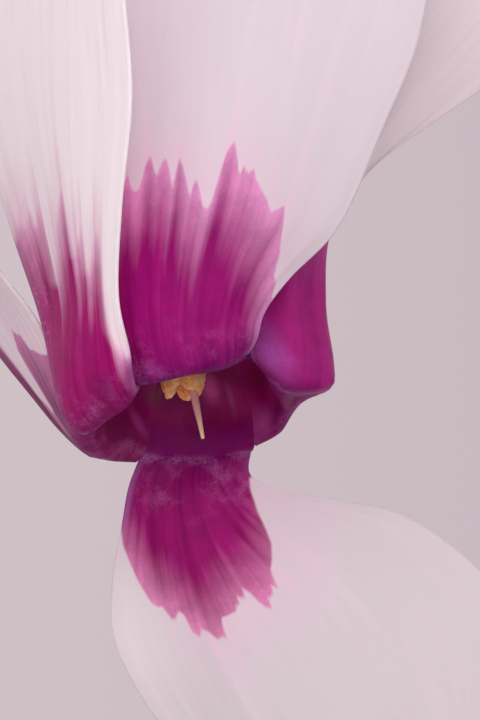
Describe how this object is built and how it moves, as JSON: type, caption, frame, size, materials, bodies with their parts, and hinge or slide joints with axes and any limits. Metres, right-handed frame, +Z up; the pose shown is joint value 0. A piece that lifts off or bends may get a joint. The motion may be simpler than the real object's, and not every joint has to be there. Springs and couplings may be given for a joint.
{
  "type": "potted cyclamen",
  "caption": "Flowering cyclamen in a plain clay pot: heart-shaped marbled leaves and nodding blooms with petals folded back over a magenta mouth.",
  "frame": {"origin": "middle of the pot's flat underside", "axes": "+Z up, -Y towards the side the front bloom faces, +X to its right"},
  "size_m": [0.2347, 0.2404, 0.3598],
  "materials": {
    "pot": "unglazed fired clay, matt",
    "compost": "loose, dark, matt",
    "tuber": "corky, matt",
    "leaf": "satin dark green, silver marbling, purple-green beneath",
    "stalk": "satin, brownish red to green, finely hairy",
    "petal": "satin, white to palest pink with a magenta eye in flames",
    "bud": "satin, pale pink with a magenta base",
    "anther": "granular, ochre, matt",
    "style": "satin, pink to cream at the tip"
  },
  "bodies": {
    "root": {"pot": "pot", "soil": "compost", "tuber": "tuber", "leaf_01": "leaf", "leaf_02": "leaf", "leaf_03": "leaf", "leaf_04": "leaf", "leaf_05": "leaf", "leaf_06": "leaf", "leaf_07": "leaf", "leaf_08": "leaf", "leaf_09": "leaf", "leaf_10": "leaf", "leaf_11": "leaf", "leaf_12": "leaf", "leaf_13": "leaf", "leaf_14": "leaf", "leaf_15": "leaf", "leaf_16": "leaf", "bloom_1_stalk": "stalk", "bloom_1_corolla": "petal", "bloom_1_anthers": "anther", "bloom_1_style": "style", "bloom_2_stalk": "stalk", "bloom_2_corolla": "petal", "bloom_2_anthers": "anther", "bloom_2_style": "style", "bloom_3_stalk": "stalk", "bloom_3_corolla": "petal", "bloom_3_anthers": "anther", "bloom_3_style": "style", "bloom_4_stalk": "stalk", "bloom_4_corolla": "petal", "bloom_4_anthers": "anther", "bloom_4_style": "style", "bloom_5_stalk": "stalk", "bloom_5_corolla": "petal", "bloom_5_anthers": "anther", "bloom_5_style": "style", "bloom_6_stalk": "stalk", "bloom_6_corolla": "petal", "bloom_6_anthers": "anther", "bloom_6_style": "style", "bud_1_stalk": "stalk", "bud_1_petals": "bud", "bud_2_stalk": "stalk", "bud_2_petals": "bud", "bud_3_stalk": "stalk", "bud_3_petals": "bud"}
  },
  "joints": []
}
